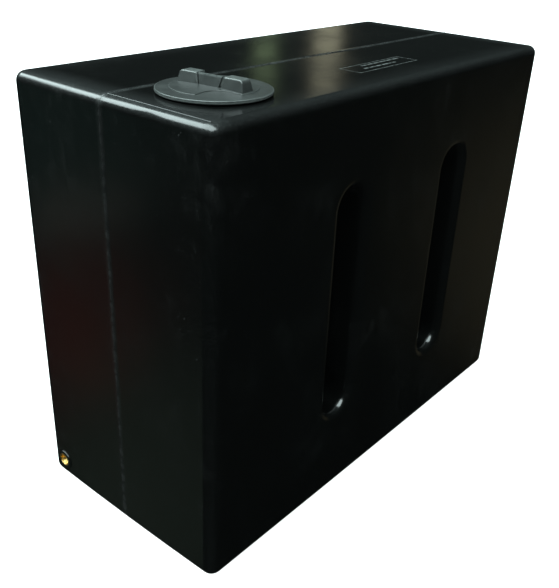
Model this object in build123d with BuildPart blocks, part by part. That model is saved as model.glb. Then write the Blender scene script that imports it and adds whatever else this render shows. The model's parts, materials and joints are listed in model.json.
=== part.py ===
from build123d import *
import os
from math import copysign, cos, radians, sin

# Upright fresh water tank, rotomoulded in one piece, with a screw lid and a brass outlet.
# Millimetres. X is the tank's length, Y its width and Z up, with the origin under the
# middle of the base. The outlet is in the -X end, and the lid is near the -X -Y corner.

# Tank shell
tank_length = 1195.0
tank_width = 540.0
tank_height = 950.0
wall = 6.0
corner_radius = 26.0
top_edge_radius = 20.0
base_edge_radius = 22.0
side_bow = 1.2  # the middle of a long side stands this far out from its ends
end_bow = 3.0

# Baffle slots, moulded right through from both long sides
slot_positions = (-192.0, 209.0)
slot_middle_z = 485.0
slot_width = 75.0  # at the parting line, where the two drafted halves meet
slot_height = 528.0
slot_draft = 1.5
slot_mouth_radius = 20.0

# Parting line: a low bead over the top and down both ends
flash_width = 2.6
flash_height = 0.8
flash_depth = 1.0
flash_foot_z = 40.0
flash_taper = 28.0

# Witness line of the mould's corner insert, on the top by the outlet end
witness_radius = 1.2
witness_rise = 0.5
witness_from_end = 19.0
witness_gap = 3.0

# Neck ring and lid axis
neck_x = -434.0
neck_y = -115.0
neck_flange_radius = 96.0
neck_flange_rise = 1.2
neck_body_radius = 89.0
neck_key_radius = 93.0
neck_key_z = (936.0, 941.0)
neck_foot_z = 921.0
neck_crest_radius = 79.3
neck_thread_foot_z = 926.0
neck_thread_rise = 20.0
collar_radius = 99.0
collar_foot_z = 923.0

# Screw thread, two starts
thread_lead = 18.0
thread_starts = 2
thread_first_angle = 35.0
thread_root_radius = 78.5
thread_crest_radius = 82.0
thread_root_width = 4.4
thread_crest_width = 2.0
thread_foot_z = 928.0
thread_rise = 12.0  # each ridge climbs this far, two thirds of a turn
thread_clearance = 0.9  # over the ridge's crest
thread_flank_clearance = 0.75
thread_embed = 0.8

# Lid
lid_radius = 105.0
lid_rim_height = 6.2
lid_dome_rise = 5.0
lid_dome_radius = 99.0
lid_top_thickness = 4.0
lid_skirt_foot_z = 925.0
lid_skirt_thickness = 3.0
rim_groove_depth = 0.9
rim_groove_width = 0.9
rim_edge_radius = 1.6
plateau_radius = 79.5
plateau_rise = 1.2
plateau_edge_radius = 0.8
pocket_from_web = 22.0  # finger pockets cut into the plateau, before and behind the grip
pocket_from_middle = 19.0
pocket_corner_radius = 36.0

# Grip across the lid, along Y but for a small turn
grip_turn = 6.5
grip_top_z = 983.0
grip_foot_z = 961.0
grip_embed = 0.5
grip_foot_depth = 34.0
grip_top_depth = 24.0
grip_foot_reach = 72.5
grip_top_reach = 68.5
grip_gap_foot = 24.0
grip_gap_top = 30.5
grip_end_radius = 9.0
grip_edge_radius = 2.8
grip_wall = 3.0
web_foot_reach = 20.0
web_top_reach = 26.0
web_thickness = 4.0

# Gasket, breather and screen
gasket_thickness = 2.0
gasket_inner_radius = 84.5
gasket_outer_radius = 95.0
breather_x = neck_x + 4.0
breather_hole_radius = 2.0
breather_circle_radius = 7.5
breather_hole_count = 6
breather_shoulder_radius = 15.5
breather_cup_radius = 17.5
breather_cup_wall = 2.5
breather_cup_foot_z = 951.0
screen_thickness = 0.8
screen_hole_radius = 0.65
screen_hole_spacing = 1.9
screen_hole_rings = 6
screen_ring_inner_radius = 14.0
screen_ring_height = 3.0

# Brass outlet, 3/4 inch female thread
outlet_y = 220.0
outlet_z = 48.5
outlet_proud = 0.6
outlet_bore_radius = 12.06
outlet_radius = 16.5
outlet_body_radius = 14.6
outlet_length = 28.0
outlet_lip = 3.0
outlet_chamfer = 1.2
outlet_key_from_face = 12.0
outlet_key_width = 7.0
outlet_key_radius = 19.0
boss_radius = 24.0
boss_edge_radius = 1.5

outlet_face_x = -tank_length / 2 - outlet_proud
lid_foot_z = tank_height + neck_flange_rise + gasket_thickness
lid_rim_top_z = lid_foot_z + lid_rim_height
lid_dome_top_z = lid_rim_top_z + lid_dome_rise
flange_top_z = tank_height + neck_flange_rise
screen_z = breather_cup_foot_z + screen_ring_height
rim_groove_z = lid_foot_z + 0.55 * lid_rim_height
lid_skirt_inner_radius = thread_root_radius - lid_skirt_thickness
lid_fall_at_skirt = lid_dome_rise * (lid_skirt_inner_radius / lid_dome_radius) ** 2
lid_ceiling_edge_z = lid_dome_top_z - lid_top_thickness - lid_fall_at_skirt

# The neck's groove is the lid ridge's own trapezium with clearance all round
thread_pitch = thread_lead / thread_starts
neck_bore_radius = thread_crest_radius + thread_clearance
thread_flank_fall = (thread_root_width - thread_crest_width) / (thread_crest_radius - thread_root_radius)
ridge_width_at_crest = thread_root_width - thread_flank_fall * (neck_crest_radius - thread_root_radius)
groove_root_width = ridge_width_at_crest + 2 * thread_flank_clearance
groove_crest_width = thread_crest_width + 2 * thread_flank_clearance

neck_axis = Axis((neck_x, neck_y, 0), (0, 0, 1))
neck_section = Plane(origin=(neck_x, neck_y, 0), x_dir=(1, 0, 0), z_dir=(0, -1, 0))
grip_across = Vector(cos(radians(grip_turn)), sin(radians(grip_turn)), 0)
grip_along = Vector(-grip_across.Y, grip_across.X, 0)
grip_section = Plane(origin=(neck_x, neck_y, 0), x_dir=grip_along, z_dir=grip_across)
grip_side = Plane(origin=(neck_x, neck_y, 0), x_dir=grip_across, z_dir=-grip_along)
outlet_axis = Axis((0, outlet_y, outlet_z), (1, 0, 0))
outlet_section = Plane(origin=(0, outlet_y, outlet_z), x_dir=(1, 0, 0), z_dir=(0, -1, 0))


def tank_form(inset):
    """The tank's outer form moved inwards by inset, with its slots."""
    half_length = tank_length / 2 - inset
    half_width = tank_width / 2 - inset
    corner_x = half_length - end_bow
    corner_y = half_width - side_bow
    with BuildPart() as form:
        with BuildSketch(Plane.XY.offset(inset)):
            with BuildLine():
                ThreePointArc((-corner_x, -corner_y), (0, -half_width), (corner_x, -corner_y))
                ThreePointArc((corner_x, -corner_y), (half_length, 0), (corner_x, corner_y))
                ThreePointArc((corner_x, corner_y), (0, half_width), (-corner_x, corner_y))
                ThreePointArc((-corner_x, corner_y), (-half_length, 0), (-corner_x, -corner_y))
            outline = make_face()
            fillet(outline.vertices(), corner_radius - inset)
        extrude(amount=tank_height - 2 * inset)
        fillet(form.faces().sort_by(Axis.Z)[-1].edges(), top_edge_radius - inset)
        fillet(form.faces().sort_by(Axis.Z)[0].edges(), base_edge_radius - inset)
        for x in slot_positions:
            with BuildSketch(Plane.XZ):
                with Locations((x, slot_middle_z)):
                    SlotOverall(slot_height + 2 * inset, slot_width + 2 * inset, rotation=90)
            extrude(amount=tank_width, both=True, taper=-slot_draft, mode=Mode.SUBTRACT)
        sides = form.faces().sort_by(Axis.Y)
        for side in (sides[0], sides[-1]):
            mouths = [edge for hole in side.inner_wires() for edge in hole.edges()]
            fillet(mouths, slot_mouth_radius - inset)
    return form.part


def thread_ridges(root_radius, crest_radius, root_width, crest_width, phase_z, foot_z, rise):
    """The ridges of every start, climbing from foot_z by rise on the helix through phase_z.

    A crest outside the root gives a male thread, and one inside it a female thread.
    """
    with BuildPart() as ridge:
        with BuildLine() as path:
            Helix(thread_lead, rise, root_radius, center=(neck_x, neck_y, foot_z))
        helix = path.line
        across = Plane(origin=helix @ 0, x_dir=(1, 0, 0), z_dir=helix % 0)
        depth = crest_radius - root_radius
        embed = copysign(thread_embed, depth)
        with BuildSketch(across):
            with BuildLine():
                Polyline(
                    (-embed, -root_width / 2),
                    (0, -root_width / 2),
                    (depth, -crest_width / 2),
                    (depth, crest_width / 2),
                    (0, root_width / 2),
                    (-embed, root_width / 2),
                    close=True,
                )
            make_face()
        sweep(is_frenet=True)
    foot_angle = thread_first_angle + 360 * (foot_z - phase_z) / thread_lead
    spacing = 360 / thread_starts
    return [ridge.part.rotate(neck_axis, foot_angle + spacing * n) for n in range(thread_starts)]


def neck_ring_envelope():
    """The outside of the neck ring as a solid plug, which the shell closes around."""
    with BuildPart() as envelope:
        with BuildSketch(neck_section):
            with BuildLine():
                Polyline(
                    (0, neck_foot_z),
                    (neck_body_radius, neck_foot_z),
                    (neck_body_radius, neck_key_z[0]),
                    (neck_key_radius, neck_key_z[0]),
                    (neck_key_radius, neck_key_z[1]),
                    (neck_body_radius, neck_key_z[1]),
                    (neck_body_radius, tank_height),
                    (neck_flange_radius, tank_height),
                    (neck_flange_radius, flange_top_z),
                    (0, flange_top_z),
                    close=True,
                )
            make_face()
        revolve(axis=neck_axis)
    return envelope.part


def outlet_envelope():
    """The outside of the brass outlet as a solid plug: round, with a six-sided key."""
    with BuildPart() as envelope:
        with BuildSketch(outlet_section):
            with BuildLine():
                Polyline(
                    (outlet_face_x, 0),
                    (outlet_face_x, outlet_radius),
                    (outlet_face_x + outlet_lip, outlet_radius),
                    (outlet_face_x + outlet_lip, outlet_body_radius),
                    (outlet_face_x + outlet_length, outlet_body_radius),
                    (outlet_face_x + outlet_length, 0),
                    close=True,
                )
            make_face()
        revolve(axis=outlet_axis)
        key_x = outlet_face_x + outlet_key_from_face
        with BuildSketch(Plane.YZ.offset(key_x)):
            with Locations((outlet_y, outlet_z)):
                RegularPolygon(outlet_key_radius, 6)
        extrude(amount=outlet_key_width)
    return envelope.part


def drafted(foot, top, z):
    """A size of the grip at height z, on the straight line from its foot to its top."""
    return foot + (top - foot) * (z - grip_foot_z) / (grip_top_z - grip_foot_z)


def grip_form(side, inset, foot_z):
    """One end block of the grip, or with an inset the hollow inside it, run down to foot_z."""
    levels = (foot_z, grip_top_z - inset)
    gaps = [drafted(grip_gap_foot, grip_gap_top, z) + inset for z in levels]
    ends = [drafted(grip_foot_reach, grip_top_reach, z) - inset for z in levels]
    depths = [drafted(grip_foot_depth, grip_top_depth, z) / 2 - inset for z in levels]
    with BuildPart() as form:
        with BuildSketch(grip_section):
            with BuildLine():
                Polyline(
                    (side * gaps[0], levels[0]),
                    (side * gaps[1], levels[1]),
                    (side * ends[1], levels[1]),
                    (side * ends[0], levels[0]),
                    close=True,
                )
            outline = make_face()
            top_corners = outline.vertices().group_by(Axis.Y)[-1]
            outer_corner = top_corners.sort_by(lambda corner: abs(corner.X))[-1]
            fillet(outer_corner, grip_end_radius - inset)
        extrude(amount=grip_foot_depth, both=True)
        with BuildSketch(grip_side):
            with BuildLine():
                Polyline(
                    (-depths[0], levels[0]),
                    (-depths[1], levels[1]),
                    (depths[1], levels[1]),
                    (depths[0], levels[0]),
                    close=True,
                )
            make_face()
        extrude(amount=2 * grip_foot_reach, both=True, mode=Mode.INTERSECT)
        if inset == 0:
            front_and_back = form.faces().sort_by(SortBy.AREA)[-3:-1]  # only the base is larger
            rims = front_and_back.edges().filter_by(lambda rim: rim.center().Z > grip_foot_z + 1)
            fillet(rims, grip_edge_radius)
    return form.part


def grip_web():
    """The thin web between the end blocks, flush with their front faces."""
    front_foot = -grip_foot_depth / 2
    front_top = -grip_top_depth / 2
    with BuildPart() as web:
        with BuildSketch(grip_side):
            with BuildLine():
                Polyline(
                    (front_foot, grip_foot_z),
                    (front_top, grip_top_z),
                    (front_top + web_thickness, grip_top_z),
                    (front_foot + web_thickness, grip_foot_z),
                    close=True,
                )
            make_face()
        extrude(amount=grip_foot_reach, both=True)
        with BuildSketch(grip_section):
            with BuildLine():
                Polyline(
                    (-web_foot_reach, grip_foot_z),
                    (-web_top_reach, grip_top_z),
                    (web_top_reach, grip_top_z),
                    (web_foot_reach, grip_foot_z),
                    close=True,
                )
            make_face()
        extrude(amount=grip_foot_depth, both=True, mode=Mode.INTERSECT)
    return web.part


def plateau():
    """The raised middle of the lid's dome, less a finger pocket at two opposite corners."""
    with BuildPart() as raised:
        with BuildSketch(Plane.XY.offset(lid_foot_z)):
            with Locations((neck_x, neck_y)):
                Circle(plateau_radius)
            for side, align in ((-1, Align.MAX), (1, Align.MIN)):
                with Locations((neck_x + side * pocket_from_web, neck_y + side * pocket_from_middle)):
                    RectangleRounded(
                        2 * plateau_radius,
                        2 * plateau_radius,
                        pocket_corner_radius,
                        align=(align, align),
                        mode=Mode.SUBTRACT,
                    )
        extrude(amount=2 * lid_rim_height)
        with BuildSketch(neck_section):
            with BuildLine():
                top = TangentArc(
                    (0, lid_dome_top_z),
                    (lid_dome_radius, lid_rim_top_z + plateau_rise),
                    tangent=(1, 0),
                )
                bottom = TangentArc(
                    (0, lid_dome_top_z - 2 * plateau_rise),
                    (lid_dome_radius, lid_rim_top_z - plateau_rise),
                    tangent=(1, 0),
                )
                Line(top @ 1, bottom @ 1)
                Line(bottom @ 0, top @ 0)
            make_face()
        revolve(axis=neck_axis, mode=Mode.INTERSECT)
        fillet(raised.faces().sort_by(Axis.Z)[-1].edges(), plateau_edge_radius)
    return raised.part.rotate(neck_axis, grip_turn)


os.makedirs("parts", exist_ok=True)

# Tank shell: one hollow moulding, with its flash, the neck collar and the outlet boss
with BuildPart() as flash:
    with BuildSketch(Plane.XZ):
        with Locations((0, tank_height / 2)):
            RectangleRounded(
                tank_length + 2 * flash_height,
                tank_height + 2 * flash_height,
                top_edge_radius + flash_height,
            )
            RectangleRounded(
                tank_length - 2 * flash_depth,
                tank_height - 2 * flash_depth,
                top_edge_radius - flash_depth,
                mode=Mode.SUBTRACT,
            )
        with Locations((0, flash_foot_z)):
            Rectangle(2 * tank_length, tank_height, align=(Align.CENTER, Align.MAX), mode=Mode.SUBTRACT)
    extrude(amount=flash_width / 2, both=True, taper=flash_taper)

with BuildPart() as tank_shell:
    add(tank_form(0))
    with BuildSketch(Plane.YZ.offset(outlet_face_x)):
        with Locations((outlet_y, outlet_z)):
            Circle(boss_radius)
    extrude(amount=outlet_length)
    fillet(tank_shell.faces().sort_by(Axis.X)[0].edges(), boss_edge_radius)
    with BuildSketch(Plane.XZ.offset(witness_gap)):
        with Locations((witness_from_end - tank_length / 2, tank_height + witness_rise - witness_radius)):
            Circle(witness_radius)
    extrude(amount=tank_width / 2 - witness_from_end - witness_gap)
    add(flash.part)
    add(tank_form(wall), mode=Mode.SUBTRACT)
    with BuildSketch(Plane.YZ.offset(outlet_face_x + wall)):
        with Locations((outlet_y, outlet_z)):
            Circle(boss_radius)
    extrude(amount=outlet_length - wall)
    with BuildSketch(Plane.XY.offset(collar_foot_z)):
        with Locations((neck_x, neck_y)):
            Circle(collar_radius)
    extrude(amount=tank_height - wall / 2 - collar_foot_z)
    add(neck_ring_envelope(), mode=Mode.SUBTRACT)
    add(outlet_envelope(), mode=Mode.SUBTRACT)
tank_shell.part.label = "tank_shell"
export_step(tank_shell.part, "parts/tank_shell.step")

# Neck ring: moulded into the shell, with the female thread standing in its bore
with BuildPart() as neck_ring:
    add(neck_ring_envelope())
    with BuildSketch(Plane.XY.offset(neck_foot_z)):
        with Locations((neck_x, neck_y)):
            Circle(neck_bore_radius)
    extrude(amount=flange_top_z - neck_foot_z, mode=Mode.SUBTRACT)
    add(
        thread_ridges(
            root_radius=neck_bore_radius,
            crest_radius=neck_crest_radius,
            root_width=thread_pitch - groove_crest_width,
            crest_width=thread_pitch - groove_root_width,
            phase_z=thread_foot_z + thread_pitch / 2,
            foot_z=neck_thread_foot_z,
            rise=neck_thread_rise,
        )
    )
neck_ring.part.label = "neck_ring"
export_step(neck_ring.part, "parts/neck_ring.step")

# Lid: domed disc with a grooved rim, threaded skirt, hollow grip and breather cup
with BuildPart() as lid:
    with BuildSketch(neck_section):
        with BuildLine():
            dome = TangentArc(
                (0, lid_dome_top_z - plateau_rise),
                (lid_dome_radius, lid_rim_top_z),
                tangent=(1, 0),
            )
            Polyline(
                dome @ 1,
                (lid_radius, lid_rim_top_z),
                (lid_radius, rim_groove_z + rim_groove_width),
                (lid_radius - rim_groove_depth, rim_groove_z + rim_groove_width),
                (lid_radius - rim_groove_depth, rim_groove_z),
                (lid_radius, rim_groove_z),
                (lid_radius, lid_foot_z),
                (thread_root_radius, lid_foot_z),
                (thread_root_radius, lid_skirt_foot_z),
                (lid_skirt_inner_radius, lid_skirt_foot_z),
                (lid_skirt_inner_radius, lid_ceiling_edge_z),
                (0, lid_dome_top_z - lid_top_thickness),
                dome @ 0,
            )
        section = make_face()
        rim_corners = section.vertices().group_by(Axis.X)[-1].sort_by(Axis.Y)
        fillet((rim_corners[0], rim_corners[-1]), rim_edge_radius)
    revolve(axis=neck_axis)
    add(plateau())
    for side in (-1, 1):
        add(grip_form(side, 0, grip_foot_z - grip_embed))
    add(grip_web())
    for side in (-1, 1):
        add(grip_form(side, grip_wall, lid_foot_z), mode=Mode.SUBTRACT)
    with BuildSketch(Plane.XY.offset(breather_cup_foot_z)):
        with Locations((breather_x, neck_y)):
            Circle(breather_cup_radius + breather_cup_wall)
            Circle(breather_shoulder_radius, mode=Mode.SUBTRACT)
    extrude(amount=lid_dome_top_z - lid_top_thickness / 2 - breather_cup_foot_z)
    with BuildSketch(Plane.XY.offset(breather_cup_foot_z)):
        with Locations((breather_x, neck_y)):
            Circle(breather_cup_radius)
    extrude(amount=screen_ring_height + screen_thickness, mode=Mode.SUBTRACT)
    with BuildSketch(Plane.XY.offset(lid_foot_z)):
        with Locations((breather_x, neck_y)):
            Circle(breather_hole_radius)
            with PolarLocations(breather_circle_radius, breather_hole_count):
                Circle(breather_hole_radius)
    extrude(amount=2 * lid_rim_height, mode=Mode.SUBTRACT)
    add(
        thread_ridges(
            root_radius=thread_root_radius,
            crest_radius=thread_crest_radius,
            root_width=thread_root_width,
            crest_width=thread_crest_width,
            phase_z=thread_foot_z,
            foot_z=thread_foot_z,
            rise=thread_rise,
        )
    )
lid.part.label = "lid"
export_step(lid.part, "parts/lid.step")

# Gasket: flat ring between the neck ring's flange and the lid's rim
with BuildPart() as lid_gasket:
    with BuildSketch(Plane.XY.offset(flange_top_z)):
        with Locations((neck_x, neck_y)):
            Circle(gasket_outer_radius)
            Circle(gasket_inner_radius, mode=Mode.SUBTRACT)
    extrude(amount=gasket_thickness)
lid_gasket.part.label = "lid_gasket"
export_step(lid_gasket.part, "parts/lid_gasket.step")

# Breather screen: perforated disc up against the cup's shoulder
with BuildPart() as breather_screen:
    with BuildSketch(Plane.XY.offset(screen_z)):
        with Locations((breather_x, neck_y)):
            Circle(breather_cup_radius)
            Circle(screen_hole_radius, mode=Mode.SUBTRACT)
            for ring in range(1, screen_hole_rings + 1):
                with PolarLocations(ring * screen_hole_spacing, 6 * ring):
                    Circle(screen_hole_radius, mode=Mode.SUBTRACT)
    extrude(amount=screen_thickness)
breather_screen.part.label = "breather_screen"
export_step(breather_screen.part, "parts/breather_screen.step")

# Screen ring: pressed into the cup below the screen
with BuildPart() as screen_ring:
    with BuildSketch(Plane.XY.offset(breather_cup_foot_z)):
        with Locations((breather_x, neck_y)):
            Circle(breather_cup_radius)
            Circle(screen_ring_inner_radius, mode=Mode.SUBTRACT)
    extrude(amount=screen_ring_height)
screen_ring.part.label = "screen_ring"
export_step(screen_ring.part, "parts/screen_ring.step")

# Outlet insert: brass, moulded into the boss
with BuildPart() as outlet_insert:
    add(outlet_envelope())
    with BuildSketch(Plane.YZ.offset(outlet_face_x)):
        with Locations((outlet_y, outlet_z)):
            Circle(outlet_bore_radius)
    extrude(amount=outlet_length, mode=Mode.SUBTRACT)
    mouth = outlet_insert.faces().sort_by(Axis.X)[0].inner_wires()[0]
    chamfer(mouth.edges(), outlet_chamfer)
outlet_insert.part.label = "outlet_insert"
export_step(outlet_insert.part, "parts/outlet_insert.step")
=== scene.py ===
import json
import math
import random

import bmesh
import bpy
from mathutils import Matrix, Vector


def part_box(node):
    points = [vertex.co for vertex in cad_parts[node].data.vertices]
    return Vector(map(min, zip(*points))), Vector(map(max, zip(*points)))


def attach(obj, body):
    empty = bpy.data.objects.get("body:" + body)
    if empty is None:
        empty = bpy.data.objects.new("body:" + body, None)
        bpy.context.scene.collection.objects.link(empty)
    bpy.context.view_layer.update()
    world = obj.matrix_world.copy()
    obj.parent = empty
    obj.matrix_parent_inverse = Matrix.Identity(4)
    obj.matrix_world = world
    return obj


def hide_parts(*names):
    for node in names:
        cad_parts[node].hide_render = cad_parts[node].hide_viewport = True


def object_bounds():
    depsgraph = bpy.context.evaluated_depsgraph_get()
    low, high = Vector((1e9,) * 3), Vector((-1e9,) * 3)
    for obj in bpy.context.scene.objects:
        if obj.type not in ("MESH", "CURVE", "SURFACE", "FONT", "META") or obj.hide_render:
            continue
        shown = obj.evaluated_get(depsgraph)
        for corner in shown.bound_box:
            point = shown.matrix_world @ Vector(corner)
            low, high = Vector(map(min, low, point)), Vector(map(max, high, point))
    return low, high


# Looks for the fresh water tank. Metres, in the CAD frame: X along the tank, Z up.

# Camera
CAMERA_PLACE = Vector((-1.4135, -1.0785, 1.2566))
CAMERA_AZIMUTH = math.radians(50.91)  # from +Y towards +X
CAMERA_DROP = math.radians(27.01)  # below the horizon
CAMERA_ROLL = math.radians(2.61)
CAMERA_LENS = 47.36
SENSOR_WIDTH = 36.0

# Printed panel on the top, a plain outline with two rows of plain dashes
PANEL_LENGTH = 0.224
PANEL_WIDTH = 0.054
PANEL_PLACE = (0.034, -0.151)
PANEL_TURN = math.radians(0.8)
PANEL_LINE = 0.0017
PANEL_INK = 0.00012
PRINT_TINT = (0.92, 1.0, 0.98)
PANEL_ROWS = ((0.015, -0.049, 0.101), (-0.006, -0.069, 0.052))  # offset across, start, end
ROW_HEIGHT = 0.0055
DASH_LENGTHS = (0.007, 0.024)
DASH_GAP = 0.0045

# The neck ring's flange stands this far above the tank's flat top
FLANGE_RISE = 0.0012

# The lid: its raised middle, and the bands of wear and painted highlight as depths in from an outline
PLATEAU_RADIUS = 0.0795
RIM_WEAR_AND_SHEEN = (0.0022, 0.0008)
TOP_WEAR_AND_SHEEN = (0.0036, 0.0012)
STEP_WEAR_AND_SHEEN = (0.0007, 0.0006)  # width, fade
STEP_SHARE = 0.5
LID_PALING = 0.75

# Polyethylene: colours, how far each kind of wear and painted highlight reaches, and how much it pales the
# black
SHELL_TINT = (0.90, 1.0, 0.96)
PALE_TINT = (0.93, 1.0, 1.0)
BLACK_LEVEL = 0.0013
DUSTY_LEVEL = 0.0048
PALE_LEVEL = 0.085
TOP_BAND = 0.02
RIM_SHEEN_REACH = 0.085
EDGE_REACH = 0.022
SCUFF_REACH = 0.20
RIM_SHEEN_PALING = 0.30
EDGE_WEAR_AND_SHEEN_PALING = 0.14
SCUFF_PALING = 0.045
# Paling of the band along the parting line: chafing on the sides, a painted highlight on the top
HALO_AND_TOP_SHEEN_PALING = (0.05, 0.30)  # on the sides, on the top
MARK_PALING = 0.55
LINE_SHARE = 0.14
GRIT_SHARE = 0.6
JOINT_SHARE = 0.09
JOINT_WIDTH = 0.0030
HALO_WIDTH = 0.012
RIDGE_WIDTH = 0.011
WAVE_DEPTH = 0.0010
RIDGE_DEPTH = 0.00035
PEEL_DEPTH = 0.00008
LINE_DEPTH = 0.00001

# Brass outlet thread, 3/4 inch parallel
THREAD_PITCH = 0.001814
THREAD_DEPTH = 0.00116
OUTLET_CHAMFER = 0.0012
OUTLET_LIP = 0.003
OUTLET_BODY_RADIUS = 0.0146
OUTLET_EDGE = 0.0004
ROOT_FLATNESS = 1.25  # grooves are cut this much too deep and then levelled, for a flat root
ROUND_STEPS = 96
STEPS_PER_PITCH = 8

# Studio light, as linear colours
STUDIO_TINT = (0.76, 1.0, 0.97)
OVERHEAD_LIGHT = (8.6, 10.4, 10.4)
DOORWAY_LIGHT = (0.58, 0.56, 0.39)
WINDOW_LIGHT = (0.42, 0.58, 0.31)
WARM_GLOW = (0.070, 0.061, 0.036)
RED_GLOW = (0.120, 0.024, 0.016)
SHELF_GLOW = (0.260, 0.235, 0.200)
TEAL_GLOW = (0.028, 0.062, 0.054)
GREEN_GLOW = (0.050, 0.070, 0.050)

# Soft glows: direction, spread in degrees, colour
GLOWS = (
    ((0.90, -0.26, -0.35), 14.5, WARM_GLOW),
    ((-0.485, 0.732, -0.477), 8.0, RED_GLOW),
    ((-0.55, 0.80, -0.24), 13.0, TEAL_GLOW),
    ((-0.50, 0.57, -0.65), 14.0, GREEN_GLOW),
)

# Slots of light in the wall: azimuth and half angle in degrees, low, high and fade as sines, colour
WALL_SLOTS = (
    (36.5, 0.6, 0.10, 0.20, 0.03, DOORWAY_LIGHT),
    (40.9, 0.5, 0.155, 0.18, 0.03, WINDOW_LIGHT),
    (124.5, 3.0, -0.362, -0.345, 0.012, SHELF_GLOW),
)

# Overhead light: its edges on a ceiling 1 m up, and their fade
OVERHEAD_X = (-1.05, -0.10, 0.12)
OVERHEAD_Y = (-0.95, 1.75, 0.15)
LOWEST_SINE = 0.05

# Floor
FLOOR_SIZE = 60.0
FLOOR_GAP = 0.0003
FLOOR_LEVEL = 0.55
FLOOR_GLOW = 0.78

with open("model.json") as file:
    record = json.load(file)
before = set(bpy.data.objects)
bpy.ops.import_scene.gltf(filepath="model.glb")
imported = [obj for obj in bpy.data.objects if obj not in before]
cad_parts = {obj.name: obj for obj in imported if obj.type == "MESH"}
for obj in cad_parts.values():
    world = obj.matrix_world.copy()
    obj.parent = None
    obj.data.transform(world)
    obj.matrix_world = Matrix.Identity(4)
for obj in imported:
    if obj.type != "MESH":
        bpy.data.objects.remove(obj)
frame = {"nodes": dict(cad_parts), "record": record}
cad_box = [list(corner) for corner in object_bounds()]
scene = bpy.context.scene
shell_low, shell_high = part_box("tank_shell")
gasket_low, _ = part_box("lid_gasket")
lid_low, lid_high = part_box("lid")
outlet_low, outlet_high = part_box("outlet_insert")
mounts = {mount["name"]: mount for mount in frame["record"]["mounts"]}
bore_radius = mounts["outlet_thread"]["dims"]["r_mm"] / 1000
top_z = gasket_low.z - FLANGE_RISE
lid_axis = (lid_low + lid_high) / 2
lid_radius = (lid_high.x - lid_low.x) / 2
lid_half_height = (lid_high.z - lid_low.z) / 2


# ---------------------------------------------------------------- node helpers
def new_material(name):
    """A material with an empty tree but for its shader and output."""
    material = bpy.data.materials.new(name)
    material.use_nodes = True
    tree = material.node_tree
    tree.nodes.clear()
    shader = tree.nodes.new("ShaderNodeBsdfPrincipled")
    output = tree.nodes.new("ShaderNodeOutputMaterial")
    tree.links.new(shader.outputs["BSDF"], output.inputs["Surface"])
    return material, tree, shader


def node(tree, kind, inputs=None, **settings):
    """Adds a node, sets its properties, and fills its inputs with values or links."""
    made = tree.nodes.new("ShaderNode" + kind)
    for key, value in settings.items():
        setattr(made, key, value)
    for key, value in (inputs or {}).items():
        if isinstance(value, bpy.types.NodeSocket):
            tree.links.new(value, made.inputs[key])
        else:
            made.inputs[key].default_value = value
    return made


def maths(tree, operation, *values):
    """The result of a Math node on values or sockets."""
    return node(tree, "Math", dict(enumerate(values)), operation=operation).outputs[0]


def ramp(tree, value, low, high, to_low=0.0, to_high=1.0):
    """value taken smoothly from low..high to to_low..to_high, and held beyond them."""
    inputs = {"Value": value, "From Min": low, "From Max": high, "To Min": to_low, "To Max": to_high}
    return node(tree, "MapRange", inputs, interpolation_type="SMOOTHSTEP").outputs[0]


def noise(tree, place, scale, detail=3.0, roughness=0.55, stretch=(1.0, 1.0, 1.0), offset=0.0):
    """Noise about 0.5, with features about 1 / scale metres across, drawn out along an axis."""
    mapping = {"Vector": place, "Location": (offset, offset, offset), "Scale": stretch}
    moved = node(tree, "Mapping", mapping).outputs[0]
    inputs = {"Vector": moved, "Scale": scale, "Detail": detail, "Roughness": roughness}
    return node(tree, "TexNoise", inputs).outputs[0]


def mix_colour(tree, factor, first, second):
    """first blended into second by factor."""
    inputs = {"Factor": factor, 6: first, 7: second}
    return node(tree, "Mix", inputs, data_type="RGBA").outputs[2]


def grey(level, tint=(1.0, 1.0, 1.0)):
    """An opaque colour of one level, tinted."""
    return (level * tint[0], level * tint[1], level * tint[2], 1.0)


def bump(tree, height, distance, normal=None):
    """The normal, tilted by height as relief that is distance metres deep."""
    inputs = {"Height": height, "Distance": distance}
    if normal is not None:
        inputs["Normal"] = normal
    return node(tree, "Bump", inputs).outputs[0]


def object_place(tree):
    """The surface point in the CAD frame, in metres."""
    return node(tree, "TexCoord").outputs["Object"]


# ---------------------------------------------------------------- materials
def near_edges(tree, place, reach):
    """1 along the tank's edges, falling to 0 at reach from them."""
    centre = (shell_low + shell_high) / 2
    half = (shell_high - shell_low) / 2
    inputs = {0: place, 1: tuple(-centre)}
    moved = node(tree, "VectorMath", inputs, operation="ADD").outputs[0]
    folded = node(tree, "VectorMath", {0: moved}, operation="ABSOLUTE").outputs[0]
    parts = node(tree, "SeparateXYZ", {0: folded}).outputs
    near = [ramp(tree, parts[n], half[n] - reach, half[n]) for n in range(3)]
    pairs = [maths(tree, "MULTIPLY", near[n], near[(n + 1) % 3]) for n in range(3)]
    total = maths(tree, "ADD", maths(tree, "ADD", pairs[0], pairs[1]), pairs[2])
    return maths(tree, "MINIMUM", total, 1.0)


def window(tree, value, low, high, soft):
    """1 where value is between low and high, with soft shoulders outside them."""
    rise = ramp(tree, value, low - soft, low)
    fall = ramp(tree, value, high, high + soft, 1.0, 0.0)
    return maths(tree, "MULTIPLY", rise, fall)


def scratches(tree, place, stretch, scale, offset):
    """Sparse thin streaks drawn out along one axis, in drifts."""
    thin = ramp(tree, noise(tree, place, scale, 1.0, 0.5, stretch, offset), 0.74, 0.80)
    drift = ramp(tree, noise(tree, place, 5.0, 3.0, 0.6, offset=offset + 3.0), 0.50, 0.66)
    return maths(tree, "MULTIPLY", thin, drift)


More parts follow.
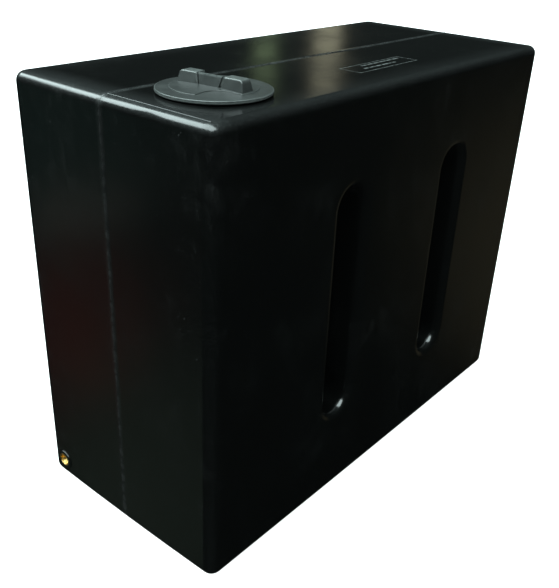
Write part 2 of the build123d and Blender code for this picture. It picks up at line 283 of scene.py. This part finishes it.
def specks(tree, place, scale, share, offset):
    """Small round flecks, in drifts; share is the noise level that a fleck begins at."""
    field = noise(tree, place, scale, 1.0, 0.5, offset=offset)
    drift = ramp(tree, noise(tree, place, 6.0, 4.0, 0.65, offset=offset + 2.0), 0.30, 0.60)
    return maths(tree, "MULTIPLY", ramp(tree, field, share, share + 0.03), drift)


def parting_line(tree, place, width, from_level, to_level):
    """A band along the mould's parting line, where an uneven noise passes from_level to to_level: chafing,
    and for the wide band also a painted highlight on the top.
    """
    across = maths(tree, "ABSOLUTE", node(tree, "SeparateXYZ", {0: place}).outputs[1])
    line = ramp(tree, across, width * 0.25, width, 1.0, 0.0)
    wear = noise(tree, place, 60.0, 6.0, 0.75, (0.5, 0.2, 0.5), 7.0)
    return maths(tree, "MULTIPLY", line, ramp(tree, wear, from_level, to_level))


def top_rim(tree, place, reach):
    """1 along the top's outer edges, falling to 0 at reach inside them, and 0 below the top."""
    x, y, z = node(tree, "SeparateXYZ", {0: place}).outputs
    near_end = ramp(tree, maths(tree, "ABSOLUTE", x), shell_high.x - reach, shell_high.x)
    near_side = ramp(tree, maths(tree, "ABSOLUTE", y), shell_high.y - reach, shell_high.y, 0.0, 0.35)
    upper = ramp(tree, z, top_z - TOP_BAND, top_z)
    return maths(tree, "MULTIPLY", maths(tree, "MAXIMUM", near_end, near_side), upper)


def polyethylene():
    """Black rotomoulded polyethylene: soft gloss, wavy, orange peel, scuffed along its edges, with
    highlights painted along the top's outer edges, the edges and the parting line on the top.
    """
    material, tree, shader = new_material("black_polyethylene")
    place = object_place(tree)
    parts = node(tree, "SeparateXYZ", {0: place}).outputs
    across = maths(tree, "ABSOLUTE", parts[1])

    patches = noise(tree, place, 5.0, 6.0, 0.62)
    mottle = noise(tree, place, 40.0, 7.0, 0.66, (1.0, 1.0, 0.6), 5.0)
    film = maths(tree, "MULTIPLY", ramp(tree, patches, 0.46, 0.78), ramp(tree, mottle, 0.34, 0.80))
    fine = noise(tree, place, 300.0, 5.0, 0.7, (1.0, 1.0, 0.6), 3.0)
    # rim: a painted sheen where the top curves down to its outer edges, made uneven
    rim = maths(tree, "MULTIPLY", top_rim(tree, place, RIM_SHEEN_REACH), ramp(tree, fine, 0.30, 0.75, 0.35, 1.0))
    edges = near_edges(tree, place, EDGE_REACH)
    # rubbed: wear along the tank's edges, which also serves as a painted highlight line along them
    rubbed = maths(tree, "MULTIPLY", edges, ramp(tree, fine, 0.50, 0.75))
    wide_edges = near_edges(tree, place, SCUFF_REACH)
    worn_edge = maths(tree, "MULTIPLY", wide_edges, ramp(tree, mottle, 0.52, 0.72))
    scuffs = maths(tree, "MULTIPLY", worn_edge, ramp(tree, fine, 0.40, 0.72))
    flecks = specks(tree, place, 330.0, 0.765, 9.0)
    grit = specks(tree, place, 850.0, 0.78, 15.0)
    down = scratches(tree, place, (1.0, 1.0, 0.05), 420.0, 1.0)
    along = scratches(tree, place, (0.05, 0.5, 1.0), 380.0, 4.0)
    lines = maths(tree, "MAXIMUM", down, along)
    joint = parting_line(tree, place, JOINT_WIDTH, 0.20, 0.70)
    nicks = parting_line(tree, place, JOINT_WIDTH, 0.60, 0.68)
    halo = parting_line(tree, place, HALO_WIDTH, 0.20, 0.80)

    black = grey(BLACK_LEVEL, SHELL_TINT)
    dusty = grey(DUSTY_LEVEL, SHELL_TINT)
    pale = grey(PALE_LEVEL, PALE_TINT)
    colour = mix_colour(tree, film, black, dusty)
    # Paler along the top's outer edges: a painted sheen
    colour = mix_colour(tree, maths(tree, "MULTIPLY", rim, RIM_SHEEN_PALING), colour, pale)
    # Paler along the edges: partly wear, partly a painted highlight line
    colour = mix_colour(tree, maths(tree, "MULTIPLY", rubbed, EDGE_WEAR_AND_SHEEN_PALING), colour, pale)
    colour = mix_colour(tree, maths(tree, "MULTIPLY", scuffs, SCUFF_PALING), colour, pale)
    # The band along the parting line: chafing on the sides, and much paler on the top as a painted
    # highlight along the ridge
    halo_and_top_sheen = ramp(tree, parts[2], top_z - TOP_BAND, top_z, *HALO_AND_TOP_SHEEN_PALING)
    colour = mix_colour(tree, maths(tree, "MULTIPLY", halo, halo_and_top_sheen), colour, pale)
    marks = maths(tree, "MAXIMUM", maths(tree, "MULTIPLY", lines, LINE_SHARE), flecks)
    marks = maths(tree, "MAXIMUM", maths(tree, "MULTIPLY", grit, GRIT_SHARE), marks)
    marks = maths(tree, "MAXIMUM", maths(tree, "MULTIPLY", joint, JOINT_SHARE), marks)
    marks = maths(tree, "MAXIMUM", nicks, marks)
    colour = mix_colour(tree, maths(tree, "MULTIPLY", marks, MARK_PALING), colour, pale)
    tree.links.new(colour, shader.inputs["Base Color"])

    rough = ramp(tree, patches, 0.3, 0.7, 0.16, 0.21)
    rough = maths(tree, "ADD", rough, maths(tree, "MULTIPLY", film, 0.05))
    worn = maths(tree, "MAXIMUM", rubbed, maths(tree, "MAXIMUM", joint, halo))
    rough = maths(tree, "ADD", rough, maths(tree, "MULTIPLY", worn, 0.14))
    tree.links.new(rough, shader.inputs["Roughness"])

    ridge = ramp(tree, across, 0.0, RIDGE_WIDTH, 1.0, 0.0)
    waves = noise(tree, place, 6.0, 2.0, 0.4, offset=6.0)
    peel = noise(tree, place, 230.0, 3.0, 0.5)
    normal = bump(tree, waves, WAVE_DEPTH)
    normal = bump(tree, ridge, RIDGE_DEPTH, normal)
    normal = bump(tree, peel, PEEL_DEPTH, normal)
    normal = bump(tree, lines, LINE_DEPTH, normal)
    tree.links.new(normal, shader.inputs["Normal"])
    shader.inputs["IOR"].default_value = 1.5
    return material


def lid_wear_and_highlights(tree, place):
    """1 where hands rub the lid and where highlights are painted on it: its rim, the plateau's edge and
    the tops of the grip.
    """
    inputs = {0: place, 1: tuple(-lid_axis)}
    moved = node(tree, "VectorMath", inputs, operation="ADD").outputs[0]
    x, y, z = node(tree, "SeparateXYZ", {0: moved}).outputs
    flat = node(tree, "CombineXYZ", {"X": x, "Y": y}).outputs[0]
    radius = node(tree, "VectorMath", {0: flat}, operation="LENGTH").outputs[1]
    rim = ramp(tree, radius, lid_radius - RIM_WEAR_AND_SHEEN[0], lid_radius - RIM_WEAR_AND_SHEEN[1])
    step = window(tree, radius, PLATEAU_RADIUS - STEP_WEAR_AND_SHEEN[0], PLATEAU_RADIUS, STEP_WEAR_AND_SHEEN[1])
    tops = ramp(tree, z, lid_half_height - TOP_WEAR_AND_SHEEN[0], lid_half_height - TOP_WEAR_AND_SHEEN[1])
    worn = maths(tree, "MAXIMUM", rim, maths(tree, "MULTIPLY", step, STEP_SHARE))
    worn = maths(tree, "MAXIMUM", worn, tops)
    uneven = ramp(tree, noise(tree, place, 180.0, 5.0, 0.7), 0.30, 0.62, 0.35, 1.0)
    return maths(tree, "MULTIPLY", worn, uneven)


def moulded_plastic(name, level, tint, roughness, grain_depth, wear=None):
    """Matt moulded plastic with a fine grain and slight clouding, paler where wear(tree, place) is 1,
    which for the lid is rubbed bands with painted highlights.
    """
    material, tree, shader = new_material(name)
    place = object_place(tree)
    clouds = noise(tree, place, 26.0, 5.0, 0.6)
    grain = noise(tree, place, 1100.0, 3.0, 0.6)
    speckle = noise(tree, place, 420.0, 2.0, 0.5, offset=2.0)
    darker, lighter, palest = grey(level * 0.82, tint), grey(level * 1.16, tint), grey(level * 1.8, tint)
    colour = mix_colour(tree, ramp(tree, clouds, 0.3, 0.7), darker, lighter)
    colour = mix_colour(tree, ramp(tree, speckle, 0.62, 0.72, 0.0, 0.35), colour, palest)
    if wear:
        # Paler where hands rub, together with painted highlights on the rim, the plateau's edge and the
        # grip tops
        rubbed = maths(tree, "MULTIPLY", wear(tree, place), LID_PALING)
        colour = mix_colour(tree, rubbed, colour, grey(level * 3.5, tint))
    tree.links.new(colour, shader.inputs["Base Color"])
    rough = ramp(tree, clouds, 0.3, 0.7, roughness - 0.05, roughness + 0.06)
    tree.links.new(rough, shader.inputs["Roughness"])
    normal = bump(tree, grain, grain_depth)
    normal = bump(tree, speckle, grain_depth * 1.4, normal)
    tree.links.new(normal, shader.inputs["Normal"])
    return material


def rubber():
    """Smooth black rubber with a bloom of dust."""
    material, tree, shader = new_material("black_rubber")
    place = object_place(tree)
    bloom = noise(tree, place, 45.0, 5.0, 0.65)
    colour = mix_colour(tree, ramp(tree, bloom, 0.35, 0.75), grey(0.012), grey(0.03))
    tree.links.new(colour, shader.inputs["Base Color"])
    tree.links.new(ramp(tree, bloom, 0.3, 0.7, 0.55, 0.72), shader.inputs["Roughness"])
    tree.links.new(bump(tree, noise(tree, place, 700.0), 0.00004), shader.inputs["Normal"])
    return material


def stainless():
    """Plain stainless sheet with a drawn grain."""
    material, tree, shader = new_material("stainless_sheet")
    place = object_place(tree)
    grain = noise(tree, place, 900.0, 3.0, 0.6, (0.06, 1.0, 1.0))
    clouds = noise(tree, place, 90.0, 3.0)
    colour = mix_colour(tree, clouds, grey(0.48, (1.0, 0.99, 0.97)), grey(0.62, (1.0, 0.99, 0.97)))
    tree.links.new(colour, shader.inputs["Base Color"])
    tree.links.new(ramp(tree, grain, 0.3, 0.7, 0.24, 0.42), shader.inputs["Roughness"])
    tree.links.new(bump(tree, grain, 0.00003), shader.inputs["Normal"])
    shader.inputs["Metallic"].default_value = 1.0
    return material


def brass():
    """Turned brass, tarnished a little in patches."""
    material, tree, shader = new_material("turned_brass")
    centre = (outlet_low + outlet_high) / 2
    place = object_place(tree)
    moved = node(tree, "VectorMath", {0: place, 1: tuple(-centre)}, operation="ADD").outputs[0]
    parts = node(tree, "SeparateXYZ", {0: moved}).outputs
    flat = node(tree, "CombineXYZ", {"Y": parts[1], "Z": parts[2]}).outputs[0]
    radius = node(tree, "VectorMath", {0: flat}, operation="LENGTH").outputs[1]
    turning = node(tree, "CombineXYZ", {"X": radius, "Y": parts[0]}).outputs[0]
    rings = noise(tree, turning, 2600.0, 2.0, 0.6)
    tarnish = noise(tree, place, 160.0, 5.0, 0.65)
    bright = (0.83, 0.60, 0.22, 1.0)
    dull = (0.52, 0.34, 0.12, 1.0)
    colour = mix_colour(tree, ramp(tree, tarnish, 0.42, 0.75), bright, dull)
    tree.links.new(colour, shader.inputs["Base Color"])
    rough = ramp(tree, tarnish, 0.35, 0.75, 0.20, 0.38)
    rough = maths(tree, "ADD", rough, maths(tree, "MULTIPLY", rings, 0.1))
    tree.links.new(rough, shader.inputs["Roughness"])
    tree.links.new(bump(tree, rings, 0.00002), shader.inputs["Normal"])
    shader.inputs["Metallic"].default_value = 1.0
    return material


def ink():
    """Worn pale print: it thins out where it has been rubbed."""
    material, tree, shader = new_material("pale_print")
    place = object_place(tree)
    worn = noise(tree, place, 130.0, 5.0, 0.7)
    printed, rubbed = grey(0.105, PRINT_TINT), grey(0.012, PRINT_TINT)
    colour = mix_colour(tree, ramp(tree, worn, 0.40, 0.62), printed, rubbed)
    tree.links.new(colour, shader.inputs["Base Color"])
    tree.links.new(ramp(tree, worn, 0.3, 0.7, 0.42, 0.58), shader.inputs["Roughness"])
    tree.links.new(bump(tree, noise(tree, place, 900.0), 0.00003), shader.inputs["Normal"])
    return material


# ---------------------------------------------------------------- pieces
def new_piece(name, mesh_maker, material):
    """A mesh object made by mesh_maker, riding on the tank."""
    mesh = bpy.data.meshes.new(name)
    work = bmesh.new()
    mesh_maker(work)
    bmesh.ops.recalc_face_normals(work, faces=work.faces)
    work.to_mesh(mesh)
    work.free()
    piece = bpy.data.objects.new(name, mesh)
    scene.collection.objects.link(piece)
    mesh.materials.append(material)
    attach(piece, "tank")
    return piece


def add_bar(work, low, high):
    """A low open box of ink on the tank's top; low and high are its corners in the panel's plane."""
    turn = Matrix.Rotation(PANEL_TURN, 2)
    corners = []
    for level in (top_z - PANEL_INK, top_z + PANEL_INK):
        for x, y in ((low[0], low[1]), (high[0], low[1]), (high[0], high[1]), (low[0], high[1])):
            spot = turn @ Vector((x, y)) + Vector(PANEL_PLACE)
            corners.append(work.verts.new((spot.x, spot.y, level)))
    work.faces.new(corners[4:8])
    for n in range(4):
        work.faces.new((corners[n], corners[(n + 1) % 4], corners[(n + 1) % 4 + 4], corners[n + 4]))


def panel_outline(work):
    """The panel's plain frame, as four bars that meet at its corners."""
    x, y, line = PANEL_LENGTH / 2, PANEL_WIDTH / 2, PANEL_LINE
    add_bar(work, (-x, -y), (x, line - y))
    add_bar(work, (-x, y - line), (x, y))
    add_bar(work, (-x, line - y), (line - x, y - line))
    add_bar(work, (x - line, line - y), (x, y - line))


def panel_dashes(work):
    """Rows of plain dashes of uneven length."""
    chooser = random.Random(5)
    for offset, start, end in PANEL_ROWS:
        x = start
        while x < end:
            reach = min(x + chooser.uniform(*DASH_LENGTHS), end)
            add_bar(work, (x, offset - ROW_HEIGHT / 2), (reach, offset + ROW_HEIGHT / 2))
            x = reach + DASH_GAP


def outlet_radius(x, turn):
    """The threaded bore's radius at x from the face, at an angle in whole turns."""
    wave = (x / THREAD_PITCH - turn) % 1.0
    groove = THREAD_DEPTH * (1.0 - abs(2.0 * wave - 1.0))
    mouth = bore_radius + OUTLET_CHAMFER - x
    return max(bore_radius + min(groove * ROOT_FLATNESS, THREAD_DEPTH), mouth)


def threaded_outlet(work):
    """The brass outlet as a surface of rings: threaded bore, chamfered mouth, face, lip and body."""
    length = outlet_high.x - outlet_low.x
    face_radius = (outlet_high.z - outlet_low.z) / 2
    centre = (outlet_low + outlet_high) / 2
    steps = round(length / THREAD_PITCH * STEPS_PER_PITCH)
    outside = [
        (length, OUTLET_BODY_RADIUS),
        (OUTLET_LIP, OUTLET_BODY_RADIUS),
        (OUTLET_LIP, face_radius),
        (OUTLET_EDGE, face_radius),
        (0.0, face_radius - OUTLET_EDGE),
        (0.0, bore_radius + OUTLET_CHAMFER + OUTLET_EDGE),
    ]
    rings = []
    for x, radius in outside:
        rings.append([(x, radius)] * ROUND_STEPS)
    for step in range(steps + 1):
        x = length * step / steps
        rings.append([(x, outlet_radius(x, n / ROUND_STEPS)) for n in range(ROUND_STEPS)])
    rings.append(rings[0])
    made = []
    for ring in rings:
        verts = []
        for n, (x, radius) in enumerate(ring):
            angle = 2 * math.pi * n / ROUND_STEPS
            y, z = centre.y + radius * math.cos(angle), centre.z + radius * math.sin(angle)
            verts.append(work.verts.new((outlet_low.x + x, y, z)))
        made.append(verts)
    for first, second in zip(made, made[1:]):
        for n in range(ROUND_STEPS):
            after = (n + 1) % ROUND_STEPS
            work.faces.new((first[n], first[after], second[after], second[n]))
    bmesh.ops.remove_doubles(work, verts=work.verts, dist=1e-7)


def dress_cad_nodes():
    """Gives each CAD node its material."""
    neck = moulded_plastic("neck_plastic_moulded", 0.014, (0.98, 1.0, 1.0), 0.5, 0.00003)
    materials = {
        "tank_shell": polyethylene(),
        "lid": moulded_plastic("lid_plastic_moulded", 0.027, (0.90, 1.0, 0.97), 0.34, 0.00005, lid_wear_and_highlights),
        "neck_ring": neck,
        "screen_ring": neck,
        "lid_gasket": rubber(),
        "breather_screen": stainless(),
    }
    for name, material in materials.items():
        mesh = frame["nodes"][name].data
        mesh.materials.clear()
        mesh.materials.append(material)


# ---------------------------------------------------------------- studio
def make_camera():
    """The camera, at the photograph's viewing angle."""
    data = bpy.data.cameras.new("camera")
    data.lens = CAMERA_LENS
    data.sensor_width = SENSOR_WIDTH
    camera = bpy.data.objects.new("camera", data)
    scene.collection.objects.link(camera)
    facing = Matrix.Rotation(-CAMERA_AZIMUTH, 4, "Z") @ Matrix.Rotation(math.pi / 2 - CAMERA_DROP, 4, "X")
    camera.matrix_world = Matrix.Translation(CAMERA_PLACE) @ facing @ Matrix.Rotation(CAMERA_ROLL, 4, "Z")
    scene.camera = camera


def make_floor():
    """A wide pale floor that glows. Glossy surfaces see the studio in its place."""
    mesh = bpy.data.meshes.new("floor")
    work = bmesh.new()
    bmesh.ops.create_grid(work, x_segments=1, y_segments=1, size=FLOOR_SIZE)
    work.to_mesh(mesh)
    work.free()
    floor = bpy.data.objects.new("floor", mesh)
    scene.collection.objects.link(floor)
    floor.location.z = cad_box[0][2] - FLOOR_GAP
    material, tree, shader = new_material("white_floor")
    shader.inputs["Base Color"].default_value = grey(FLOOR_LEVEL)
    shader.inputs["Roughness"].default_value = 0.9
    shader.inputs["Specular IOR Level"].default_value = 0.0
    shader.inputs["Emission Color"].default_value = grey(1.0)
    shader.inputs["Emission Strength"].default_value = FLOOR_GLOW
    mesh.materials.append(material)
    floor.visible_glossy = False


def add_glow(tree, total, shape, colour):
    """Adds colour to the studio where shape is above 0."""
    patch = node(tree, "VectorMath", {0: colour, "Scale": shape}, operation="SCALE").outputs[0]
    return node(tree, "VectorMath", {0: total, 1: patch}, operation="ADD").outputs[0]


def lobe(tree, direction, towards, spread):
    """1 towards a direction, falling to 0 at spread in degrees from it."""
    inputs = {0: direction, 1: Vector(towards).normalized()}
    along = node(tree, "VectorMath", inputs, operation="DOT_PRODUCT").outputs[1]
    return ramp(tree, along, math.cos(math.radians(spread)), 1.0)


def slot_of_light(tree, azimuth, height, middle, half_angle, low, high, fade):
    """1 in an upright slot of the studio wall: angles in degrees, heights and fade as sines."""
    soft = math.radians(half_angle)
    beside = window(tree, azimuth, math.radians(middle) - soft, math.radians(middle) + soft, soft)
    return maths(tree, "MULTIPLY", beside, window(tree, height, low, high, fade))


def overhead_light(tree, east, north, height):
    """1 in a soft rectangle overhead."""
    above = maths(tree, "MAXIMUM", height, LOWEST_SINE)
    along_x = window(tree, maths(tree, "DIVIDE", east, above), *OVERHEAD_X)
    along_y = window(tree, maths(tree, "DIVIDE", north, above), *OVERHEAD_Y)
    shape = maths(tree, "MULTIPLY", along_x, along_y)
    return maths(tree, "MULTIPLY", shape, ramp(tree, height, 0.2, 0.3))


def make_world():
    """A dim studio with patches of light; the camera itself sees white beyond the floor."""
    world = bpy.data.worlds.new("studio")
    world.use_nodes = True
    tree = world.node_tree
    tree.nodes.clear()
    direction = node(tree, "TexCoord").outputs["Generated"]
    east, north, height = node(tree, "SeparateXYZ", {0: direction}).outputs
    azimuth = maths(tree, "ARCTAN2", north, east)
    wall = ramp(tree, height, -0.30, 0.12, 0.005, 0.019)
    level = maths(tree, "ADD", wall, ramp(tree, height, 0.2, 0.9, 0.0, 0.14))
    total = node(tree, "VectorMath", {0: STUDIO_TINT, "Scale": level}, operation="SCALE").outputs[0]

    total = add_glow(tree, total, overhead_light(tree, east, north, height), OVERHEAD_LIGHT)
    for *shape, colour in WALL_SLOTS:
        total = add_glow(tree, total, slot_of_light(tree, azimuth, height, *shape), colour)
    for towards, spread, colour in GLOWS:
        total = add_glow(tree, total, lobe(tree, direction, towards, spread), colour)

    studio = node(tree, "Background", {"Color": total})
    white = node(tree, "Background", {"Color": grey(1.0)})
    seen = node(tree, "LightPath").outputs["Is Camera Ray"]
    both = node(tree, "MixShader", {0: seen, 1: studio.outputs[0], 2: white.outputs[0]})
    output = tree.nodes.new("ShaderNodeOutputWorld")
    tree.links.new(both.outputs[0], output.inputs["Surface"])
    scene.world = world


make_camera()
make_world()
make_floor()
dress_cad_nodes()
outlet = new_piece("outlet_threaded", threaded_outlet, brass())
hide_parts("outlet_insert")
outlet.data.polygons.foreach_set("use_smooth", [True] * len(outlet.data.polygons))
print_material = ink()
new_piece("panel_outline", panel_outline, print_material)
new_piece("panel_dashes", panel_dashes, print_material)

scene.view_settings.view_transform = "Standard"
